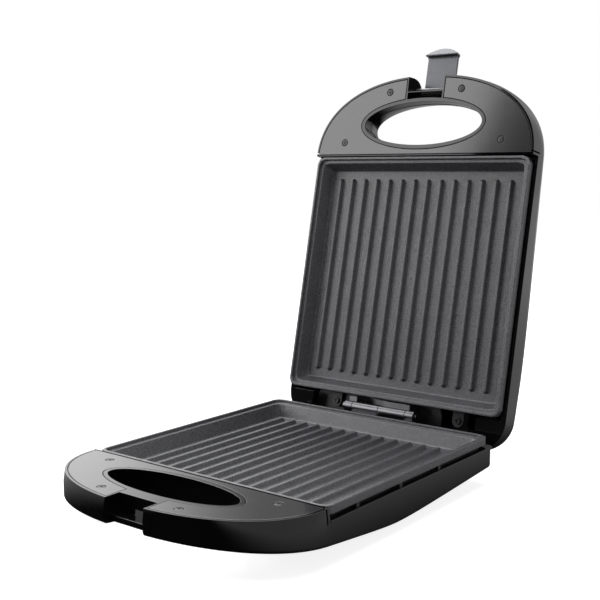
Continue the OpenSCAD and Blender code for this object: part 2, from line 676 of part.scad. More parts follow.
// Rounded steel tabs that hold the back of the lid's plate
module lid_plate_tabs() color(metal_colour) at_lid() for (x = [-tab_x, tab_x])
    translate([x, 0, floor_z + 0.2]) linear_extrude(tab_t) difference() {
        union() {
            translate([-tab_w / 2, plate_d - 14]) square([tab_w, tab_y - plate_d + 14]);
            translate([0, tab_y]) circle(d = tab_w);
        }
        translate([0, tab_y]) circle(d = screw_d);
    }
module lid_tab_screws() color(steel_colour) at_lid() for (x = [-tab_x, tab_x])
    translate([x, tab_y, floor_z + 0.2 - 1.6 - seat]) screw(6.4, 1.6, 2.7, 12);

bracket_left = -tab_x - 27;
bracket_right = hinge_left + 2 * hinge_half + 15.5;
bracket_screw_x = [bracket_left + 11, hinge_left + 23, bracket_right - 11];
bracket_screw_y = lid_rear - 9;
module lid_hinge_bracket() color(panel_colour) at_lid() difference() {
    translate([0, 0, bracket_z]) linear_extrude(2)
        round_rect(bracket_left, plate_d - 3, bracket_right, lid_rear - wall - 1, 12);
    translate([-tab_x, tab_y, bracket_z - cut]) cylinder(d = boss_d + 1.4, h = 4);
    for (x = bracket_screw_x) translate([x, bracket_screw_y, bracket_z - cut]) cylinder(d = 3.4, h = 4);
}
module lid_bracket_screws() color(steel_colour) at_lid() for (x = bracket_screw_x)
    translate([x, bracket_screw_y, bracket_z - 1.6 - seat]) screw(6, 1.6, 2.7, 10);

// ---------- Indicator lamps ----------
module lamp_lens(x) at_lid() translate([x, lamp_y, lid_z(lamp_y)]) {
    translate([0, 0, -wall - 2.5]) cylinder(d = lamp_d, h = wall + 3);
    translate([0, 0, 0.4]) cylinder(d1 = lamp_d, d2 = lamp_d - 2, h = 0.9);
    translate([0, 0, -wall - 3.4]) cylinder(d = lamp_d + 2.4, h = 1.4);
}
module power_lamp_lens() color([0.8, 0.1, 0.08]) lamp_lens(-lamp_x);
module ready_lamp_lens() color([0.1, 0.6, 0.15]) lamp_lens(lamp_x);
module neon_lamps() color("ivory") at_lid() for (x = [-lamp_x, lamp_x])
    translate([x, lamp_y, lid_z(lamp_y) - wall - 3.4 - seat - 6]) cylinder(d = 4, h = 6);
module lamp_holder() color(panel_colour) at_lid() translate([0, lamp_y, lid_z(lamp_y) - wall - 3.4 - seat])
    difference() {
        block([-lamp_x - 7, -5, -5], [lamp_x + 7, 5, -2 - seat]);
        for (x = [-lamp_x, lamp_x]) translate([x, 0, -7]) cylinder(d = 4.1, h = 8);
    }

// ---------- Latch ----------
// Side view of the latch with its axis at the origin and the blade pointing along -x
module latch_side() {
    top = latch_arm + latch_t / 2;
    under = latch_arm - latch_t / 2;
    circle(d = 7);
    // arm, blade, and the hook with its straight catch face and its ramp towards the tip
    polygon([[-3.2, 0], [-0.3, 0], [-0.3, top], [-latch_len, top], [-latch_len, under],
        [-latch_hook - 1, under - hook_reach], [-latch_hook, under - hook_reach], [-latch_hook, under],
        [-3.2, under]]);
}
// Front view of the latch: a straight blade with a rounded tab
module latch_front() {
    tip_r = 26;
    translate([-latch_w / 2, -latch_hook]) square([latch_w, latch_hook]);
    translate([-notch_w / 2 + 0.4, -5]) square([notch_w - 0.8, 12]);
    intersection() {
        translate([0, tip_r - latch_len]) circle(tip_r);
        translate([-latch_w / 2 - 0.8, -latch_len]) square([latch_w + 1.6, latch_len - latch_hook + 1.5]);
    }
}
module latch() color(metal_colour) at_lid() translate([0, -latch_y, latch_z]) difference() {
    intersection() {
        rotate([90, 0, 90]) linear_extrude(notch_w, center = true) latch_side();
        translate([0, 0, -10]) linear_extrude(40) latch_front();
    }
    bar_x(-notch_w, notch_w, 0, 0, latch_pin_d + 2 * fit);
}
module latch_pin() color(steel_colour) at_lid()
    bar_x(-notch_w / 2 - 3.8, notch_w / 2 + 3.8, -latch_y, latch_z, latch_pin_d);

base_housing();
base_handle_panel();
base_panel_screws();
base_grill_plate();
base_heating_element();
base_element_clamps();
base_reflector();
base_reflector_screws();
base_case_screws();
base_feet();
base_hinge_leaf();
base_hinge_screws();
hinge_pin();
thermostat();
thermal_fuse();
terminal_block();
cord_gland();
lid_housing();
lid_handle_panel();
lid_panel_screws();
lid_grill_plate();
lid_heating_element();
lid_element_clamps();
lid_reflector();
lid_reflector_screws();
lid_plate_tabs();
lid_tab_screws();
lid_hinge_bracket();
lid_bracket_screws();
lid_hinge_leaf();
lid_thermal_fuse();
power_lamp_lens();
ready_lamp_lens();
lamp_holder();
neon_lamps();
latch();
latch_pin();
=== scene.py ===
# Sandwich toaster, standing open: two ribbed plates in glossy black housings on one hinge.
import json
from math import cos, pi, radians, sin, tan

import bmesh
import bpy
from mathutils import Matrix, Vector


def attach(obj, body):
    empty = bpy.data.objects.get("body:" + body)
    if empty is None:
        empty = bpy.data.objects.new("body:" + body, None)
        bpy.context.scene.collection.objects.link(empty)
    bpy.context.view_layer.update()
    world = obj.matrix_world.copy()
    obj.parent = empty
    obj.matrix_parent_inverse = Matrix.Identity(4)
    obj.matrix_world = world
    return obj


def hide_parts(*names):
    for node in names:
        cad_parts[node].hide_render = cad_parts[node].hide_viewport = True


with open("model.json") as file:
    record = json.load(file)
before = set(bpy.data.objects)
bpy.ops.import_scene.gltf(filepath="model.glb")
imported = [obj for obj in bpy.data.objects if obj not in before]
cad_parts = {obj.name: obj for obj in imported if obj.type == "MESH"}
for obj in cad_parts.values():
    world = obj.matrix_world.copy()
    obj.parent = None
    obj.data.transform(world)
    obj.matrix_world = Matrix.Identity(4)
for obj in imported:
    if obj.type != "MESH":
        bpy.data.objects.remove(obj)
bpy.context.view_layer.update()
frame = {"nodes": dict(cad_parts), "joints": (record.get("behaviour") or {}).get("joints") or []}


# ---- Where the two halves stand ---------------------------------------------------------------
# Both halves are drawn alike, in millimetres: the plate's rim lies at z = 0, its front edge at
# y = 0, and z grows outwards. The base is set down with its plate upwards, 44 mm above the table,
# and the lid hangs on the hinge behind the plates, tipped back until it stands open.
MM = 0.001
PLATE_W, PLATE_D = 240.0, 239.0
HINGE_Y, HINGE_Z = PLATE_D + 14.0, 0.9
LID_SETBACK, LID_GAP, OPEN_ANGLE = 2.5, 1.5, 102.5
hinge = next(joint for joint in frame["joints"] if joint["name"] == "lid_hinge")
STAND_H = hinge["pos_m"][2] / MM - HINGE_Z
MID_Y = HINGE_Y - hinge["pos_m"][1] / MM
AT_BASE = Matrix.Translation((0, -MID_Y, STAND_H)) @ Matrix.Scale(-1, 4, (0, 0, 1))
AT_LID = (
    Matrix.Translation((0, HINGE_Y - MID_Y, STAND_H + HINGE_Z))
    @ Matrix.Rotation(radians(-OPEN_ANGLE), 4, "X")
    @ Matrix.Translation((0, LID_SETBACK - HINGE_Y, LID_GAP - HINGE_Z))
)
HALVES = (("base", AT_BASE), ("lid", AT_LID))


# ---- Camera, table and studio -----------------------------------------------------------------
# The toaster is seen from the front right, a little above its plates. It stands on a pale table
# before a white sweep, under large soft lamps at the front left, at the back left and overhead.
LENS, SENSOR_W, SEE_TO = 60.59, 36, 50
CAMERA_X, CAMERA_Y, CAMERA_Z = 0.52464, -0.54564, 0.23452
CAMERA_TURN, CAMERA_DIP, CAMERA_ROLL = 38.13, 7.46, -0.154
ROOM_GLOW, BACK_GLOW, CARD_GLOW, CORNER_GLOW, RIGHT_GLOW, FILL_GLOW = 0.06, 0.19, 1.8, 0.6, 0.5, 0.3
TABLE_REACH, TABLE_MATT, TABLE_GLOW = 9, 0.5, 0.86
WHITE = (1, 1, 1, 1)


class Wire:
    """One output of a node, which can stand in a sum or a product."""

    def __init__(self, recipe, socket):
        self.recipe, self.socket = recipe, socket

    def output(self, name):
        return Wire(self.recipe, self.socket.node.outputs[name])

    def maths(self, operation, *values):
        return self.recipe.node("ShaderNodeMath", {"operation": operation}, dict(enumerate(values)))

    def __add__(self, other):
        return self.maths("ADD", self, other)

    def __sub__(self, other):
        return self.maths("SUBTRACT", self, other)

    def __rsub__(self, other):
        return self.maths("SUBTRACT", other, self)

    def __mul__(self, other):
        return self.maths("MULTIPLY", self, other)

    __radd__, __rmul__ = __add__, __mul__


class Recipe:
    """Nodes of one tree: a finish, the studio's light, or a rule that shapes a mesh."""

    def __init__(self, tree):
        self.tree = tree
        tree.nodes.clear()

    def node(self, kind, settings=None, sockets=None):
        made = self.tree.nodes.new(kind)
        for key, value in (settings or {}).items():
            setattr(made, key, value)
        for key, value in (sockets or {}).items():
            if isinstance(value, Wire):
                self.tree.links.new(value.socket, made.inputs[key])
            else:
                made.inputs[key].default_value = value
        return Wire(self, made.outputs[0]) if len(made.outputs) else None

    def step(self, value, low, high):
        """0 below low, 1 above high, and a soft step between."""
        return self.node("ShaderNodeMapRange", {"interpolation_type": "SMOOTHSTEP"},
                         {"Value": value, "From Min": low, "From Max": high})

    def between(self, factor, low, high):
        """A colour between two colours."""
        mix = self.node("ShaderNodeMix", {"data_type": "RGBA"},
                        {"Factor": factor, 6: (*low, 1), 7: (*high, 1)})
        return Wire(self, mix.socket.node.outputs[2])

    def rays(self):
        """1 for what the camera sees, also through glass, and 1 for what a glossy piece mirrors."""
        path = self.node("ShaderNodeLightPath")
        seen = path.maths("MAXIMUM", path.output("Is Camera Ray"), path.output("Is Transmission Ray"))
        return seen, path.output("Is Glossy Ray")

    def parts(self, vector):
        """The x, y and z of a vector."""
        split = self.node("ShaderNodeSeparateXYZ", {}, {0: vector})
        return split.output("X"), split.output("Y"), split.output("Z")


def new_material(name):
    """An empty material with nodes."""
    made = bpy.data.materials.new(name)
    made.use_nodes = True
    return made


def lamp(name, place, target, size, watts):
    """A soft rectangular lamp."""
    data = bpy.data.lights.new(name, "AREA")
    data.shape, data.energy = "RECTANGLE", watts
    data.size, data.size_y = size
    light = bpy.data.objects.new(name, data)
    bpy.context.collection.objects.link(light)
    look = (Vector(target) - Vector(place)).to_track_quat("-Z", "Y")
    light.matrix_world = Matrix.Translation(place) @ look.to_matrix().to_4x4()


def sweep_light():
    """White behind the toaster, dim in front of it, and an even fill for what isn't glossy."""
    bpy.context.scene.world = bpy.data.worlds.new("studio")
    bpy.context.scene.world.use_nodes = True
    studio = Recipe(bpy.context.scene.world.node_tree)
    seen, glossy = studio.rays()
    x, y, _ = studio.parts(studio.node("ShaderNodeTexCoord").output("Generated"))
    card = studio.step(x + y, 0.12, -0.15) * studio.step(x, -0.2, -0.5) * studio.step(y, -0.2, 0.2)
    corner = studio.step(y, -0.25, 0.35) * studio.step(x, -0.4, 0.15)
    mirrored = (ROOM_GLOW + BACK_GLOW * studio.step(y, 0.0, 0.4) + CARD_GLOW * card
                + CORNER_GLOW * corner + RIGHT_GLOW * studio.step(x, 0.3, 0.9))
    shown = mirrored.maths("MAXIMUM", mirrored, seen)
    fill = studio.node("ShaderNodeBackground", {}, {"Color": WHITE, "Strength": FILL_GLOW})
    bright = studio.node("ShaderNodeBackground", {}, {"Color": WHITE, "Strength": shown})
    direct = seen.maths("MAXIMUM", seen, glossy)
    mixed = studio.node("ShaderNodeMixShader", {}, {0: direct, 1: fill, 2: bright})
    studio.node("ShaderNodeOutputWorld", {}, {0: mixed})


def pale_table():
    """Matt white for light and shadow, but a mirrored glow at its sides, and clear from below."""
    material = new_material("pale_table")
    made = Recipe(material.node_tree)
    seen, glossy = made.rays()
    shade = TABLE_MATT - TABLE_MATT * glossy
    colour = made.node("ShaderNodeCombineColor", {}, {0: shade, 1: shade, 2: shade})
    x, y, _ = made.parts(made.node("ShaderNodeTexCoord").output("Object"))
    sides = 0.6 * made.step(x, 0.1, 0.24) + 0.4 * made.step(x, -0.12, -0.3)
    mirrored = 0.01 + sides + 0.4 * made.step(0.75 * x + 0.65 * y, 0.4, 1.8)
    glow = seen.maths("MAXIMUM", TABLE_GLOW * seen, mirrored * glossy)
    matt = made.node("ShaderNodeBsdfDiffuse", {}, {"Color": colour})
    white = made.node("ShaderNodeEmission", {}, {"Color": WHITE, "Strength": glow})
    top = made.node("ShaderNodeAddShader", {}, {0: matt, 1: white})
    below = made.node("ShaderNodeNewGeometry").output("Backfacing")
    clear = made.node("ShaderNodeBsdfTransparent")
    mixed = made.node("ShaderNodeMixShader", {}, {0: below, 1: top, 2: clear})
    made.node("ShaderNodeOutputMaterial", {}, {0: mixed})
    return material


def table():
    """A pale table that keeps a soft shadow and is lost in the white of the sweep."""
    far = TABLE_REACH
    mesh = bpy.data.meshes.new("table")
    mesh.from_pydata([(-far, -far, 0), (far, -far, 0), (far, far, 0), (-far, far, 0)], [], [(0, 1, 2, 3)])
    mesh.materials.append(pale_table())
    made = bpy.data.objects.new("table", mesh)
    bpy.context.collection.objects.link(made)


camera = bpy.data.objects.new("camera", bpy.data.cameras.new("camera"))
bpy.context.collection.objects.link(camera)
camera.data.lens, camera.data.sensor_width, camera.data.clip_end = LENS, SENSOR_W, SEE_TO
camera.matrix_world = (
    Matrix.Translation((CAMERA_X, CAMERA_Y - MID_Y * MM, CAMERA_Z + STAND_H * MM))
    @ Matrix.Rotation(radians(CAMERA_TURN), 4, "Z")
    @ Matrix.Rotation(radians(90 - CAMERA_DIP), 4, "X")
    @ Matrix.Rotation(radians(CAMERA_ROLL), 4, "Z")
)
bpy.context.scene.camera = camera
bpy.context.scene.view_settings.view_transform = "Standard"
lamp("left_lamp", (-1.56, -1.0, 1.1), (0, 0, 0.2), (1.7, 1.5), 29)
lamp("back_lamp", (-1.1, 1.0, 1.8), (0, 0, 0.1), (1.9, 1.6), 34)
lamp("top_lamp", (0.2, -0.2, 1.9), (0, 0.05, 0.1), (1.2, 1.2), 20)
sweep_light()
table()


# ---- Housings ---------------------------------------------------------------------------------
# Two mouldings in high-gloss black plastic: a thin wall under a shelf that carries the plate, and
# a loop handle in one piece with it. The lid's is deeper and rounder, and reaches over the hinge.
HALF_W = PLATE_W / 2 + 3.5
REACH, ROUNDNESS, NOSE_STEPS, SIDE_STEPS, CORNER_STEPS = 82.0, 2.25, 180, 40, 14
WALL, WALL_DROP, SHELF, SHELF_IN, SHELF_ENDS = 2.6, 9.0, 2.0, 8.4, 5
GRIP_W, GRIP_D, GRIP_Y, GRIP_STEPS, RING = 132.0, 43.0, 33.0, 144, 4.0
FLARE_LOW, FLARE_HIGH, FLARE_WIDE, FLARE_DEEP, FLARE_POWER = 11, 42, 9.5, 8.5, 1.6
RIM_DRAFT, PANEL_RIM, PANEL_T, PANEL_STRIP = 1.2, 2.2, 2.0, 1.4
SEAM_FRONT, SEAM_BACK, SEAM_DEEP = -4.6, -3.3, 2.5
NUB_IN, NUB_HALF, NUB_LONG, NUB_LOW, NUB_ROWS = 1.6, 1.4, 4, 7, (36, 94, 152)
RAIL, RAIL_REAR, RAIL_H, RAIL_FRONT = 0.8, 1.7, 1.6, -0.9
NOTCH_W, NOTCH_Y, LEDGE_Z = 40.0, 66.0, 14.3
HOOK_Y, HOOK_Z, NOTCH_BACK, BLADE_GAP, BLADE_DEEP = 3, 19, 9.5, 0.6, 12
LAMP_X, LAMP_Y, LAMP_ACROSS = 13, 24, 7.3
FOOT_X, FOOT_Y, FOOT_ACROSS, FOOT_SHOWS, POST_WALL, FOOT_FIT = 75, (30, 220), 15.0, 3.5, 2, 0.3
INLET_Y, INLET_Z, INLET_ACROSS = PLATE_D - 36, 19.0, 9.1
FAR, EDGE = 60, 0.35
FORMS = {
    "base": {"peak_y": 90, "peak": 36, "front": 20, "rear": 27.5,
             "rear_y": PLATE_D - 0.5, "corner": 4, "edge": 3},
    "lid": {"peak_y": 190, "peak": 41, "front": 28, "rear": 36,
            "rear_y": PLATE_D + 33, "corner": 30, "edge": 15},
}


class Finish(Recipe):
    """A material whose pattern follows the piece's own place."""

    def __init__(self, name):
        self.material = new_material(name)
        super().__init__(self.material.node_tree)

    def noise(self, scale, detail=2.0, stretch=(1, 1, 1), roughness=0.5):
        """Clouds of 1 / scale metres, drawn out along the axes that are stretched least."""
        here = self.node("ShaderNodeTexCoord").output("Object")
        here = self.node("ShaderNodeMapping", {}, {"Vector": here, "Scale": stretch})
        return self.node("ShaderNodeTexNoise", {"noise_dimensions": "3D"},
                         {"Vector": here, "Scale": scale, "Detail": detail, "Roughness": roughness})

    def shade(self, sockets, relief, depth):
        """Joins the shader to the output, over a relief of a depth in metres."""
        sockets["Normal"] = self.node("ShaderNodeBump", {}, {"Height": relief, "Distance": depth})
        shader = self.node("ShaderNodeBsdfPrincipled", {}, sockets)
        self.node("ShaderNodeOutputMaterial", {}, {"Surface": shader})
        return self.material


def gloss_black():
    """High-gloss moulded plastic with the faint waviness of its mould and a little fine dust."""
    made = Finish("gloss_black")
    wave, dust = made.noise(30, 2), made.noise(1400, 3)
    colour = made.between(wave, (0.0014, 0.0014, 0.0016), (0.0028, 0.0027, 0.0033))
    rough = 0.03 + 0.03 * wave + 0.03 * made.step(dust, 0.55, 0.75)
    return made.shade({"Base Color": colour, "Roughness": rough}, wave, 0.00008)


def thing(name, points, faces):
    """A new closed mesh in millimetres."""
    made = bpy.data.objects.new(name, bpy.data.meshes.new(name))
    made.data.from_pydata(points, [], faces)
    bpy.context.collection.objects.link(made)
    return faced_out(made)


def faced_out(made, join=None):
    """Joins points that lie together, and turns all faces outwards."""
    shape = bmesh.new()
    shape.from_mesh(made.data)
    if join:
        bmesh.ops.remove_doubles(shape, verts=shape.verts, dist=join)
    bmesh.ops.recalc_face_normals(shape, faces=shape.faces)
    shape.to_mesh(made.data)
    shape.free()
    return made


def ring_faces(count, rings):
    """The face that closes the first of some rings of points, and those from ring to ring."""
    faces = [tuple(range(count))]
    for low in range(0, (rings - 1) * count, count):
        faces += [(low + i, low + (i + 1) % count, low + count + (i + 1) % count, low + count + i)
                  for i in range(count)]
    return faces


def loft(name, rings, strips=()):
    """A closed mesh through rings of as many points each; strips may close the last ring."""
    count, top = len(rings[0]), (len(rings) - 1) * len(rings[0])
    faces = ring_faces(count, len(rings))
    faces += [tuple(top + k for k in strip) for strip in strips or [range(count)]]
    return thing(name, [point for ring in rings for point in ring], faces)


def prism(around, low, high):
    """A body between z = low and z = high, with the outline of the points around it."""
    return loft("prism", [[(x, y, z) for x, y in around] for z in (low, high)])


def block(low, high):
    """A box between two corners."""
    (x0, y0, z0), (x1, y1, z1) = low, high
    return prism([(x0, y0), (x1, y0), (x1, y1), (x0, y1)], z0, z1)


def oval(a, b, x=0.0, y=0.0, steps=48):
    """Points on an oval round x, y that reaches a to its sides and b to its front and back."""
    return [(x + a * cos(t), y + b * sin(t)) for t in (2 * pi * i / steps for i in range(steps))]


def rod(across, low, high, x=0.0, y=0.0):
    """A round post or cutter that stands at x, y."""
    return prism(oval(across / 2, across / 2, x, y), low, high)


def settle(made):
    """Turns an object with modifiers into the plain mesh that they make."""
    mesh = bpy.data.meshes.new_from_object(made.evaluated_get(bpy.context.evaluated_depsgraph_get()))
    made.modifiers.clear()
    old, made.data = made.data, mesh
    bpy.data.meshes.remove(old)
    return made


def carve(made, operation, *tools):
    """Cuts, joins or trims a mesh with others, which are used up."""
    for tool in tools:
        cutter = made.modifiers.new("cut", "BOOLEAN")
        cutter.operation, cutter.solver, cutter.object = operation, "EXACT", tool
    settle(made)
    for tool in tools:
        bpy.data.meshes.remove(tool.data)
    return made


def place_at(made, matrix):
    """Moves a finished mesh from its half, in millimetres, to its place in metres."""
    made.data.transform(Matrix.Scale(MM, 4) @ matrix)
    return faced_out(made, 0.000002)


def smoothed(made, sharp=40):
    """Shades a mesh smooth between its sharp edges, with its flat faces kept flat."""
    made.data.polygons.foreach_set("use_smooth", [True] * len(made.data.polygons))
    made.data.set_sharp_from_angle(angle=radians(sharp))
    made.modifiers.new("normals", "WEIGHTED_NORMAL").keep_sharp = True
    return settle(made)


def break_edges(made, width, steps=2, above=32):
    """Rounds the sharp edges of a mesh by a width in millimetres."""
    bevel = made.modifiers.new("edges", "BEVEL")
    bevel.width, bevel.segments, bevel.limit_method = width * MM, steps, "ANGLE"
    bevel.angle_limit, bevel.use_clamp_overlap, bevel.miter_outer = radians(above), False, "MITER_ARC"
    return smoothed(settle(made))


def dress(made, name, body, nodes, material):
    """Names a piece, gives it its finish, and puts it in the place of its nodes on its body."""
    made.name = made.data.name = name
    made.data.materials.clear()
    made.data.materials.append(material)
    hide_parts(*nodes)
    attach(made, body)


def outline(inset, rear, corner_r):
    """A housing from above, from its left side round the front to the right side and the back."""
    wide, deep, back, r = HALF_W - inset, REACH - inset, rear - inset, max(corner_r - inset, 1)
    points = []
    for t in [pi * i / NOSE_STEPS for i in range(NOSE_STEPS + 1)]:
        side = wide * abs(cos(t)) ** (2 / ROUNDNESS)
        points.append((-side if cos(t) > 0 else side, -deep * max(sin(t), 0) ** (2 / ROUNDNESS)))
    side_y = [(back - r) * i / SIDE_STEPS for i in range(1, SIDE_STEPS)]
    arc = [pi / 2 * i / CORNER_STEPS for i in range(CORNER_STEPS + 1)]
    points += [(wide, y) for y in side_y]
    points += [(wide - r + r * cos(t), back - r + r * sin(t)) for t in arc]
    points += [(-(wide - r + r * cos(t)), back - r + r * sin(t)) for t in reversed(arc)]
    return points + [(-wide, y) for y in reversed(side_y)]


def cross_strips(count):
    """Faces that close a ring from its left half to its right half, so that it can be curved."""
    half = (count - NOSE_STEPS - 1) // 2
    right = list(range(NOSE_STEPS // 2, NOSE_STEPS + 1 + half))
    left = [NOSE_STEPS - k if k <= NOSE_STEPS else count + NOSE_STEPS - k for k in right]
    strips = [(right[0], right[1], left[1])]
    return strips + [(right[i], right[i + 1], left[i + 1], left[i]) for i in range(1, len(right) - 1)]


def fall(away, length, drop, soft=2.0):
    """How much depth is lost away from the deepest point: flat there, then almost straight."""
    slope = (drop * drop + 2 * drop * soft) ** 0.5 / length
    return (slope * slope * away * away + soft * soft) ** 0.5 - soft


def depth(y, form):
    """How far a housing reaches from the plate's rim at a distance y behind the plate's front."""
    ends = (form["peak_y"] + REACH, form["front"]) if y < form["peak_y"] else (
        form["rear_y"] - form["peak_y"], form["rear"])
    return form["peak"] - fall(y - form["peak_y"], ends[0], form["peak"] - ends[1])


def skin(form, inset=0.0, start=0.0, steps=12):
    """The closed outside of a housing, or a body a wall's thickness inside it."""
    back, corner_r, edge = form["rear_y"], form["corner"], form["edge"]
    rings = [[(x, y, start) for x, y in outline(inset + (0 if start else RIM_DRAFT), back, corner_r)],
             [(x, y, WALL_DROP + start / 2) for x, y in outline(inset, back, corner_r)]]
    for t in [pi / 2 * k / steps for k in range(steps + 1)]:
        drawn_in = inset + (edge - inset) * (1 - cos(t))
        lowered = inset + (edge - inset) * (1 - sin(t))
        rings.append([(x, y, depth(y, form) - lowered) for x, y in outline(drawn_in, back, corner_r)])
    return loft("skin", rings, cross_strips(len(rings[0])))


def grip(grow, low, high):
    """The body of the finger hole, or of the ring round it."""
    return prism(oval(GRIP_W / 2 + grow, GRIP_D / 2 + grow, 0, -GRIP_Y, GRIP_STEPS), low, high)


def flare(rings=8):
    """Widens the lid's finger hole towards its back, as a soft edge for the fingers."""
    rows = []
    for share in [k / (rings - 1) for k in range(rings)]:
        a = GRIP_W / 2 + FLARE_WIDE * share ** FLARE_POWER + 0.01
        b = GRIP_D / 2 + FLARE_DEEP * share ** FLARE_POWER + 0.01
        z = FLARE_LOW + (FLARE_HIGH - FLARE_LOW) * share
        rows.append([(x, y, z) for x, y in oval(a, b, 0, -GRIP_Y, GRIP_STEPS)])
    return loft("flare", rows)


def inlay_body(inset, low, high):
    """The inlay panel, or its seat in a handle."""
    made = prism(outline(RIM_DRAFT + PANEL_RIM + inset, PLATE_D, 4), low, high)
    front, rear = (-PLATE_W, -REACH - 1, low - 1), (PLATE_W, -PANEL_STRIP - inset, high + 1)
    carve(made, "INTERSECT", block(front, rear))
    side = NOTCH_W / 2 + PANEL_STRIP + inset
    return carve(made, "DIFFERENCE", grip(RING + inset, low - 1, high + 1),
                 block((-side, -REACH - 2, low - 1), (side, -GRIP_Y, high + 1)))


def base_cuts():
    """The inlet of the mains lead, and the notch with the ledge that the latch's hook catches."""
    notch = NOTCH_W / 2
    inlet = rod(INLET_ACROSS, -4, 8)
    inlet.data.transform(Matrix.Translation((-HALF_W, INLET_Y, INLET_Z)) @ Matrix.Rotation(pi / 2, 4, "Y"))
    return [
        inlet,
        block((-notch, -2 * REACH, -1), (notch, -NOTCH_Y, LEDGE_Z)),
        block((-notch, -2 * REACH, -1), (notch, -NOTCH_Y - NOTCH_BACK, FAR)),
        block((-notch, -2 * REACH, HOOK_Z), (notch, -NOTCH_Y - HOOK_Y, FAR)),
    ]


def lid_cuts(back):
    """The room over the hinge, the latch's notch and slot, the wider finger hole and two lamp holes."""
    notch, floor = NOTCH_W / 2, WALL_DROP + SHELF + 1
    slot = block((BLADE_GAP - notch, -NOTCH_Y + 2, -1), (notch - BLADE_GAP, -GRIP_Y, BLADE_DEEP))
    return [
        block((WALL - HALF_W + 3, PLATE_D - 6, 0), (HALF_W - WALL - 3, back - 30, floor)),
        block((30 - HALF_W, PLATE_D - 6, 0), (HALF_W - 30, back - WALL, floor)),
        block((-notch, -2 * REACH, -1), (notch, -NOTCH_Y + BLADE_GAP, 2 * FAR)),
        carve(slot, "DIFFERENCE", grip(RING, -2, 20)),
        flare(),
        rod(LAMP_ACROSS, 0, FAR, -LAMP_X, LAMP_Y),
        rod(LAMP_ACROSS, 0, FAR, LAMP_X, LAMP_Y),
    ]


def add_rail(body, back):
    """Joins the rail that runs round the top of the base, beside its plate."""
    rail = prism(outline(-RAIL, back + RAIL_REAR, 4), WALL_DROP - 0.5, WALL_DROP + RAIL_H)
    beside = block((-2 * HALF_W, RAIL_FRONT, 0), (2 * HALF_W, back + 5, FAR))
    carve(body, "UNION", carve(rail, "INTERSECT", beside))


def add_foot_posts(made, form):
    """Joins four posts under the base, each with a round seat for its foot."""
    spots = [(x, y) for x in (-FOOT_X, FOOT_X) for y in FOOT_Y]
    low = STAND_H - FOOT_SHOWS
    carve(made, "UNION", *[
        rod(FOOT_ACROSS + 2 * POST_WALL, depth(y, form) - WALL, low, x, y) for x, y in spots])
    carve(made, "DIFFERENCE", *[rod(FOOT_ACROSS + FOOT_FIT, low - 2, STAND_H + 3, x, y) for x, y in spots])


def housing(half):
    """A moulded housing with its handle, cut for the plate, the fingers, the inlay and the latch."""
    form = FORMS[half]
    back, inner, seam_z = form["rear_y"], HALF_W - SHELF_IN, WALL_DROP + SEAM_DEEP
    room = carve(skin(form, WALL, 1.0), "INTERSECT",
                 block((-HALF_W, 1, WALL_DROP + SHELF), (HALF_W, back, FAR)))
    cuts = [
        room,
        block((-2 * HALF_W, -1, -1), (2 * HALF_W, back + 4, WALL_DROP)),
        block((-inner, SHELF_ENDS, 0), (inner, PLATE_D - SHELF_ENDS, WALL_DROP + SHELF + 1)),
        grip(0, -5, FAR),
        inlay_body(0, -1, PANEL_T),
        block((PLATE_W / 2 - 4, SEAM_FRONT, -1), (HALF_W + 1, SEAM_BACK, seam_z)),
        block((-HALF_W - 1, SEAM_FRONT, -1), (4 - PLATE_W / 2, SEAM_BACK, seam_z)),
    ]
    cuts += base_cuts() if half == "base" else lid_cuts(back)
    body = skin(form)
    if half == "base":
        add_rail(body, back)
    made = carve(body, "DIFFERENCE", *cuts)
    carve(made, "UNION", *[
        block((x - NUB_HALF, y, NUB_LOW), (x + NUB_HALF, y + NUB_LONG, WALL_DROP + 0.2))
        for x in (NUB_IN - PLATE_W / 2, PLATE_W / 2 - NUB_IN) for y in NUB_ROWS])
    if half == "base":
        add_foot_posts(made, form)
    return made


BLACK = gloss_black()
for half, place in HALVES:
    shell = break_edges(place_at(housing(half), place), EDGE)
    dress(shell, half + "_shell", half, [half + "_housing"], BLACK)


# ---- Inlay panels and their screws ------------------------------------------------------------
# A flush panel with a satin dark-grey lacquer lies in each handle, clear of the housing by a thin
# dark line. Four small pan-head screws with cross recesses hold it.
PANEL_GAP, PANEL_FIT, SCREW_ACROSS, SCREW_HIGH, SCREW_SUNK = 0.5, 0.05, 6.6, 0.8, 0.12
SEAT_ACROSS, SEAT_DEEP, SHANK_ACROSS = 7.2, 0.95, 3.8
SCREW_PLACES = [(-88.5, -15), (88.5, -15), (-40.4, -65.5), (40.4, -65.5)]


def satin_inlay():
    """Dark-grey satin lacquer with a fine metallic flake."""
    made = Finish("satin_inlay")
    flake, wave = made.noise(5000, 2), made.noise(25, 2)
    colour = made.between(flake, (0.018, 0.018, 0.019), (0.028, 0.028, 0.030))
    return made.shade({"Base Color": colour, "Specular IOR Level": 0.75,
                       "Roughness": 0.09 + 0.04 * flake + 0.03 * wave}, wave, 0.00006)


def plated_metal(name, low, high, rough, scale=700.0):
    """Plated or pressed metal with a fine cloudy grain."""
    made = Finish(name)
    grain, cloud = made.noise(scale, 3), made.noise(60, 2)
    colour = made.between(0.5 * grain + 0.5 * cloud, low, high)
    return made.shade({"Base Color": colour, "Metallic": 1.0, "Roughness": rough + 0.12 * cloud},
                      grain, 0.00003)


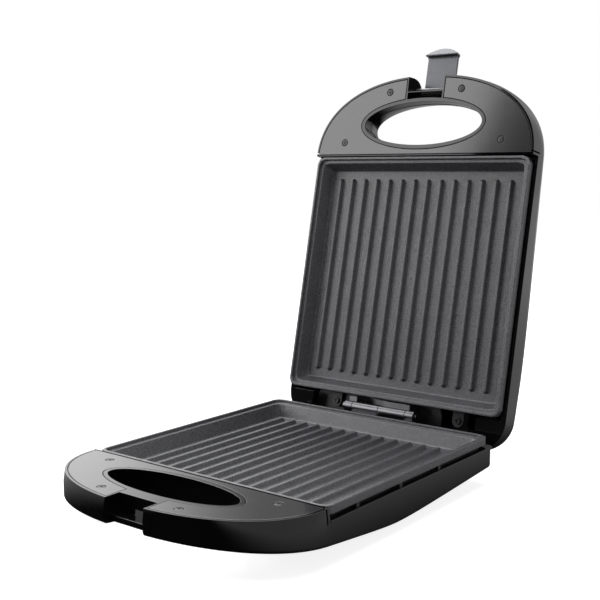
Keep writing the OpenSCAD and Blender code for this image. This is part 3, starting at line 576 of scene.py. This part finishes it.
def screw_head(across, high, name, crown=7, shank=6):
    """A cross-recessed pan head, with its top at z = 0 and its shank along +z."""
    turns = [pi / 2 * k / (crown - 1) for k in range(crown)]
    rings = [(across / 2 * (0.55 + 0.45 * sin(t)), 0.35 * high * (1 - cos(t))) for t in turns]
    rings += [(across / 2, high), (across * 0.22, high), (across * 0.22, high + shank)]
    made = loft(name, [[(x, y, z) for x, y in oval(r, r, steps=40)] for r, z in rings])
    arm, thick = across * 0.27, across * 0.05
    carve(made, "DIFFERENCE", block((-arm, -thick, -1), (arm, thick, 0.65 * high)),
          block((-thick, -arm, -1), (thick, arm, 0.65 * high)))
    made.data.transform(Matrix.Scale(MM, 4))
    made.data.polygons.foreach_set("use_smooth", [True] * len(made.data.polygons))
    made.data.set_sharp_from_angle(angle=radians(35))
    return made


class Rule(Recipe):
    """A geometry tree with named inputs, which is used on one mesh and then taken off it."""

    def __init__(self, name, inputs):
        super().__init__(bpy.data.node_groups.new(name, "GeometryNodeTree"))
        face = self.tree.interface
        kinds = {float: "NodeSocketFloat", int: "NodeSocketInt"}
        face.new_socket("Geometry", in_out="INPUT", socket_type="NodeSocketGeometry")
        self.values = []
        for key, value in inputs.items():
            kind = kinds.get(type(value), "NodeSocketObject")
            self.values.append((face.new_socket(key, in_out="INPUT", socket_type=kind), value))
        face.new_socket("Geometry", in_out="OUTPUT", socket_type="NodeSocketGeometry")
        self.given = self.node("NodeGroupInput")

    def work_on(self, made, result, material):
        """Ends the tree, sets its inputs by their identifiers, and makes a plain mesh of it."""
        real = self.node("GeometryNodeRealizeInstances", {}, {"Geometry": result})
        paint = self.node("GeometryNodeSetMaterial", {}, {"Geometry": real, "Material": material})
        self.node("NodeGroupOutput", {}, {"Geometry": paint})
        made.modifiers.new("rule", "NODES").node_group = self.tree
        for socket, value in self.values:
            made.modifiers["rule"][socket.identifier] = value
        return settle(made)


def seat_screws(name, body, nodes, places, across, high, matrix, material):
    """Sets a copy of a screw head on each place, each turned by chance as a driver leaves it."""
    head = screw_head(across, high, name + "_head")
    rule = Rule(name, {"Head": head, "Most Turn": 1.5, "Seed": 4})
    points = rule.node("GeometryNodeMeshToPoints", {}, {"Mesh": rule.given.output("Geometry")})
    source = rule.node("GeometryNodeObjectInfo", {}, {"Object": rule.given.output("Head")})
    chance = rule.node("FunctionNodeRandomValue", {}, {3: rule.given.output("Most Turn"),
                                                       "Seed": rule.given.output("Seed")})
    turned = rule.node("ShaderNodeCombineXYZ", {}, {"Z": chance.output(1)})
    copies = rule.node("GeometryNodeInstanceOnPoints", {}, {
        "Points": points, "Instance": source.output("Geometry"), "Rotation": turned})
    made = bpy.data.objects.new(name, bpy.data.meshes.new(name))
    made.data.from_pydata([(x * MM, y * MM, z * MM) for x, y, z in places], [], [])
    bpy.context.collection.objects.link(made)
    rule.work_on(made, copies, material)
    bpy.data.objects.remove(head)
    made.data.transform(Matrix.Scale(MM, 4) @ matrix @ Matrix.Scale(1 / MM, 4))
    if matrix.determinant() < 0:
        made.data.flip_normals()
    dress(made, name, body, nodes, material)


INLAY = satin_inlay()
SCREW = plated_metal("screw_steel", (0.035, 0.035, 0.037), (0.075, 0.075, 0.078), 0.26)
for half, place in HALVES:
    panel = inlay_body(PANEL_GAP, 0, PANEL_T - PANEL_FIT)
    for x, y in SCREW_PLACES:
        carve(panel, "DIFFERENCE",
              rod(SEAT_ACROSS, -1, SEAT_DEEP, x, y), rod(SHANK_ACROSS, -1, PANEL_T + 1, x, y))
    panel = break_edges(place_at(panel, place), EDGE)
    dress(panel, half + "_inlay", half, [half + "_handle_panel"], INLAY)
    seat_screws(half + "_inlay_screws", half, [half + "_panel_screws"],
                [(x, y, SCREW_SUNK) for x, y in SCREW_PLACES], SCREW_ACROSS, SCREW_HIGH, place, SCREW)


# ---- Grill plates -----------------------------------------------------------------------------
# Each plate is one aluminium casting: a raised lip, a ledge, sloping walls and a floor with
# fourteen ribs, all with soft cast edges, under a sprayed dark-grey non-stick coat.
RIBS, RIB_SIDE, RIB_END, RIB_W, RIB_H, RIB_CREST = 14, 23.2, 19.4, 6.4, 3.8, 0.9
LIP_W, LIP_H, LEDGE_IN_Z, RIM_W, SLOPE_RUN = 2.6, 7.0, 3.0, 6.0, 5.2
FLOOR_Z, PLATE_T, CORNER_R = 16.0, 2.6, 7.0
RIB_PITCH = (PLATE_W - 2 * RIB_SIDE) / (RIBS - 1)
SHEET_POSTS, SHEET_Z = [(x, y) for x in (-38, 38) for y in (72, PLATE_D - 69)], 26.55
CASE_POST, CASE_POST_H, SHEET_POST, POST_ROOT = 8, 6, 7, 1.6


def nonstick():
    """Sprayed non-stick coat on a casting: fine grains with bright specks over a slow mottle."""
    made = Finish("nonstick")
    grain, mottle, speck = made.noise(800, 3, roughness=0.75), made.noise(40, 2), made.noise(1100, 1)
    colour = made.between(0.65 * made.step(grain, 0.36, 0.64) + 0.35 * mottle,
                          (0.005, 0.005, 0.007), (0.083, 0.082, 0.093))
    rough = 0.42 - 0.2 * made.step(speck, 0.5, 0.68)
    return made.shade({"Base Color": colour, "Roughness": rough, "Specular IOR Level": 1.0},
                      grain, 0.00035)


def rounded(corners, steps=6):
    """A path whose corners (inset, z, radius) are rounded by arcs."""
    path = [Vector(corners[0][:2])]
    for i in range(1, len(corners) - 1):
        here, radius = Vector(corners[i][:2]), corners[i][2]
        before, after = Vector(corners[i - 1][:2]) - here, Vector(corners[i + 1][:2]) - here
        half = before.angle(after) / 2
        reach = radius / tan(half)
        centre = here + (before.normalized() + after.normalized()).normalized() * radius / sin(half)
        first = here + before.normalized() * reach - centre
        last = here + after.normalized() * reach - centre
        for t in [-first.angle_signed(last) * k / steps for k in range(steps + 1)]:
            turned = (first.x * cos(t) - first.y * sin(t), first.x * sin(t) + first.y * cos(t))
            path.append(centre + Vector(turned))
    return path + [Vector(corners[-1][:2])]


def smooth_casting():
    """The casting before its ribs: rings from its underside over its lip to a floor in a fine grid."""
    edge, mid = RIM_W + SLOPE_RUN + 1.8, PLATE_D / 2
    marks = (0, 0.3, 0.6, 0.9, 1.2, 1.5, 1.8, 2.1, 2.4, 2.7, 3.0, 3.3, 3.7)
    centres = [RIB_SIDE - PLATE_W / 2 + i * RIB_PITCH for i in range(RIBS)]
    across = sorted({round(c + s * m, 3) for c in centres for m in marks for s in (-1, 1)}
                    | {edge - PLATE_W / 2, PLATE_W / 2 - edge})
    ends = [RIB_END - 0.4 + 0.4 * k for k in range(10)]
    along = sorted({edge, PLATE_D - edge} | set(ends) | {PLATE_D - y for y in ends}
                   | {35 + 21 * k for k in range(9)})
    border = [(x, along[0]) for x in across] + [(across[-1], y) for y in along[1:]]
    border += [(x, along[-1]) for x in reversed(across[:-1])]
    border += [(across[0], y) for y in reversed(along[1:-1])]

    def on_ring(point, inset):
        """A point of the floor's border moved out to the rounded rectangle at an inset."""
        wide, deep, r = PLATE_W / 2 - inset, mid - inset, max(CORNER_R - inset / 2, 2.6)
        x = point[0] / (PLATE_W / 2 - edge) * wide
        y = (point[1] - mid) / (mid - edge) * deep
        over_x, over_y = abs(x) - (wide - r), abs(y) - (deep - r)
        if over_x > 0 and over_y > 0:
            turn = pi / 4 * (over_y / r if over_x >= r - 1e-6 else 2 - over_x / r)
            x = (wide - r + r * cos(turn)) * (1 if x > 0 else -1)
            y = (deep - r + r * sin(turn)) * (1 if y > 0 else -1)
        return x, y + mid

    path = [Vector(spot) for spot in (
        (RIM_W + SLOPE_RUN - PLATE_T, FLOOR_Z + PLATE_T), (4.3, LEDGE_IN_Z + PLATE_T),
        (LIP_W, LEDGE_IN_Z + PLATE_T), (LIP_W, LIP_H))]
    path += rounded([
        (0.2, LIP_H, 0), (0, LIP_H - 0.4, 0.2), (0, 0, 0.9), (LIP_W, 0, 0.7),
        (LIP_W + 0.3, LEDGE_IN_Z, 0.7), (RIM_W + 0.1, LEDGE_IN_Z + 0.1, 1.0),
        (RIM_W + SLOPE_RUN, FLOOR_Z, 2.0), (edge, FLOOR_Z, 0)])
    points = [(*on_ring(p, spot.x), spot.y) for spot in path for p in border]
    faces = ring_faces(len(border), len(path))
    number = {p: len(points) - len(border) + i for i, p in enumerate(border)}
    for p in [(x, y) for y in along for x in across]:
        if p not in number:
            number[p] = len(points)
            points.append((*p, FLOOR_Z))
    for y0, y1 in zip(along, along[1:]):
        faces += [(number[x0, y0], number[x1, y0], number[x1, y1], number[x0, y1])
                  for x0, x1 in zip(across, across[1:])]
    return thing("casting", points, faces)


def raise_ribs(made, material):
    """Raises the floor into ribs: full on their crests, soft at their feet, round at their ends."""
    inputs = {"Pitch": RIB_PITCH, "Foot Width": RIB_W, "Crest Width": 2 * RIB_CREST, "Height": RIB_H,
              "End Inset": RIB_END, "Plate Depth": PLATE_D, "Floor Depth": FLOOR_Z}
    rule = Rule("cast_ribs", inputs)
    value = {key: rule.given.output(key) for key in inputs}
    x, y, z = rule.parts(rule.node("GeometryNodeInputPosition"))
    share = x.maths("FRACT", x.maths("DIVIDE", x, value["Pitch"]))
    across = x.maths("ABSOLUTE", share - 0.5) * value["Pitch"]
    first = value["End Inset"] + 0.5 * value["Foot Width"]
    along = y.maths("MAXIMUM", y.maths("MAXIMUM", first - y, y - (value["Plate Depth"] - first)), 0.0)
    away = x.maths("SQRT", across * across + along * along)
    rise = rule.step(away, 0.5 * value["Foot Width"], 0.5 * value["Crest Width"])
    on_floor = z.maths("COMPARE", z, value["Floor Depth"], 0.3)
    lift = rule.node("ShaderNodeCombineXYZ", {}, {"Z": 0.0 - value["Height"] * rise * on_floor})
    moved = rule.node("GeometryNodeSetPosition", {},
                      {"Geometry": rule.given.output("Geometry"), "Offset": lift})
    return rule.work_on(made, moved, material)


COAT = nonstick()
for half, place in HALVES:
    root, case_z = FLOOR_Z + POST_ROOT, FLOOR_Z + PLATE_T + CASE_POST_H
    posts = [rod(CASE_POST, root, case_z, x, y) for x in (-FOOT_X, FOOT_X) for y in FOOT_Y]
    posts += [rod(SHEET_POST, root, SHEET_Z - 0.05, x, y) for x, y in SHEET_POSTS]
    casting = raise_ribs(carve(smooth_casting(), "UNION", *posts), COAT)
    casting = smoothed(place_at(casting, place), 50)
    dress(casting, half + "_casting", half, [half + "_grill_plate"], COAT)


# ---- Heaters, clamps and reflectors -----------------------------------------------------------
# Behind each plate lies a steel heating tube in two clamps, under a bright sheet that keeps the
# heat off the housing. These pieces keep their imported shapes, with their edges broken.
def softened(node, body, material, width=0.1):
    """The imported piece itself, merged, with its edges broken."""
    source = frame["nodes"][node]
    made = bpy.data.objects.new(node + "_soft", source.data.copy())
    bpy.context.collection.objects.link(made)
    made.data.transform(source.matrix_world)
    shape = bmesh.new()
    shape.from_mesh(made.data)
    bmesh.ops.remove_doubles(shape, verts=shape.verts, dist=0.000002)
    bmesh.ops.dissolve_limit(shape, angle_limit=radians(0.4), verts=shape.verts, edges=shape.edges)
    shape.to_mesh(made.data)
    shape.free()
    dress(break_edges(made, width), node + "_soft", body, [node], material)


SHEET = plated_metal("sheet_steel", (0.45, 0.45, 0.45), (0.62, 0.62, 0.62), 0.3, 300)
TUBE = plated_metal("heater_tube", (0.10, 0.08, 0.07), (0.2, 0.17, 0.14), 0.4)
for half in ("base", "lid"):
    softened(half + "_heating_element", half, TUBE, 0.05)
    softened(half + "_element_clamps", half, SHEET)
    softened(half + "_reflector", half, SHEET)
    softened(half + "_reflector_screws", half, SCREW)


# ---- Thermostat, fuses, terminals and cord inlet ----------------------------------------------
# The base holds the thermostat and the terminals, and each plate has a thermal fuse. A rubber
# sleeve lines the inlet of the mains lead in the base's left side.
def dull(name, low, high, rough, scale=500.0, relief=0.00005):
    """Rubber, ceramic or matt paint with a fine grain."""
    made = Finish(name)
    grain = made.noise(scale, 3)
    colour = made.between(grain, low, high)
    return made.shade({"Base Color": colour, "Roughness": rough + 0.1 * grain}, grain, relief)


CERAMIC = dull("ceramic", (0.6, 0.57, 0.5), (0.72, 0.69, 0.62), 0.5)
RUBBER = dull("rubber", (0.012, 0.012, 0.012), (0.02, 0.02, 0.02), 0.6)
softened("thermostat", "base", SHEET)
softened("thermal_fuse", "base", CERAMIC)
softened("lid_thermal_fuse", "lid", CERAMIC)
softened("terminal_block", "base", CERAMIC, 0.3)
softened("cord_gland", "base", RUBBER, 0.25)


# ---- Case screws and feet ---------------------------------------------------------------------
# Four long screws go up through the base's posts into its plate. A soft rubber foot is pressed
# over each screw, so that the toaster stands firm and leaves no marks.
softened("base_case_screws", "base", SCREW)
softened("base_feet", "base", RUBBER, 0.4)


# ---- Hinge ------------------------------------------------------------------------------------
# Two leaves of plated steel interlock in four barrels on one pin. The base's leaf is screwed to
# the back wall, and the lid's to a dark stamped bracket, beside the two tabs that hold its plate.
ZINC = plated_metal("zinc", (0.10, 0.10, 0.107), (0.19, 0.19, 0.197), 0.24)
STAMPED = dull("stamped_grey", (0.02, 0.02, 0.022), (0.035, 0.035, 0.038), 0.3)
softened("base_hinge_leaf", "base", ZINC, 0.3)
softened("base_hinge_screws", "base", SCREW)
softened("hinge_pin", "base", ZINC, 0.4)
softened("lid_hinge_leaf", "lid", ZINC, 0.3)
softened("lid_hinge_bracket", "lid", STAMPED, 0.4)
softened("lid_bracket_screws", "lid", SCREW)
softened("lid_plate_tabs", "lid", STAMPED, 0.2)
softened("lid_tab_screws", "lid", SCREW)


# ---- Indicator lamps --------------------------------------------------------------------------
# Two small neon lamps sit in a holder under the lid's top, each behind a clear tinted lens that
# is pressed through the housing.
def lens(name, colour):
    """A clear tinted lens."""
    made = Finish(name)
    cloud = made.noise(300, 2)
    tint = made.between(cloud, tuple(0.8 * part for part in colour), colour)
    return made.shade({"Base Color": tint, "Roughness": 0.06 + 0.04 * cloud,
                       "Transmission Weight": 0.6, "IOR": 1.49}, cloud, 0.00002)


softened("power_lamp_lens", "lid", lens("red_lens", (0.6, 0.02, 0.015)), 0.3)
softened("ready_lamp_lens", "lid", lens("green_lens", (0.02, 0.35, 0.06)), 0.3)
softened("neon_lamps", "lid", lens("lamp_glass", (0.9, 0.8, 0.7)))
softened("lamp_holder", "lid", CERAMIC, 0.2)


# ---- Latch ------------------------------------------------------------------------------------
# A dark metallic blade turns on a steel pin in the lid's notch. When the lid is closed, its hook
# catches under the ledge of the base, and its rounded tab is pulled to free it.
def brushed_dark():
    """Dark metallic lacquer, brushed from side to side."""
    made = Finish("brushed_dark")
    brush = made.noise(30, 3, stretch=(1, 90, 90))
    colour = made.between(brush, (0.07, 0.071, 0.076), (0.13, 0.131, 0.14))
    return made.shade({"Base Color": colour, "Metallic": 0.8, "Roughness": 0.27 + 0.14 * brush},
                      brush, 0.00004)


softened("latch_pin", "lid", SCREW, 0.2)
softened("latch", "latch", brushed_dark(), 0.4)
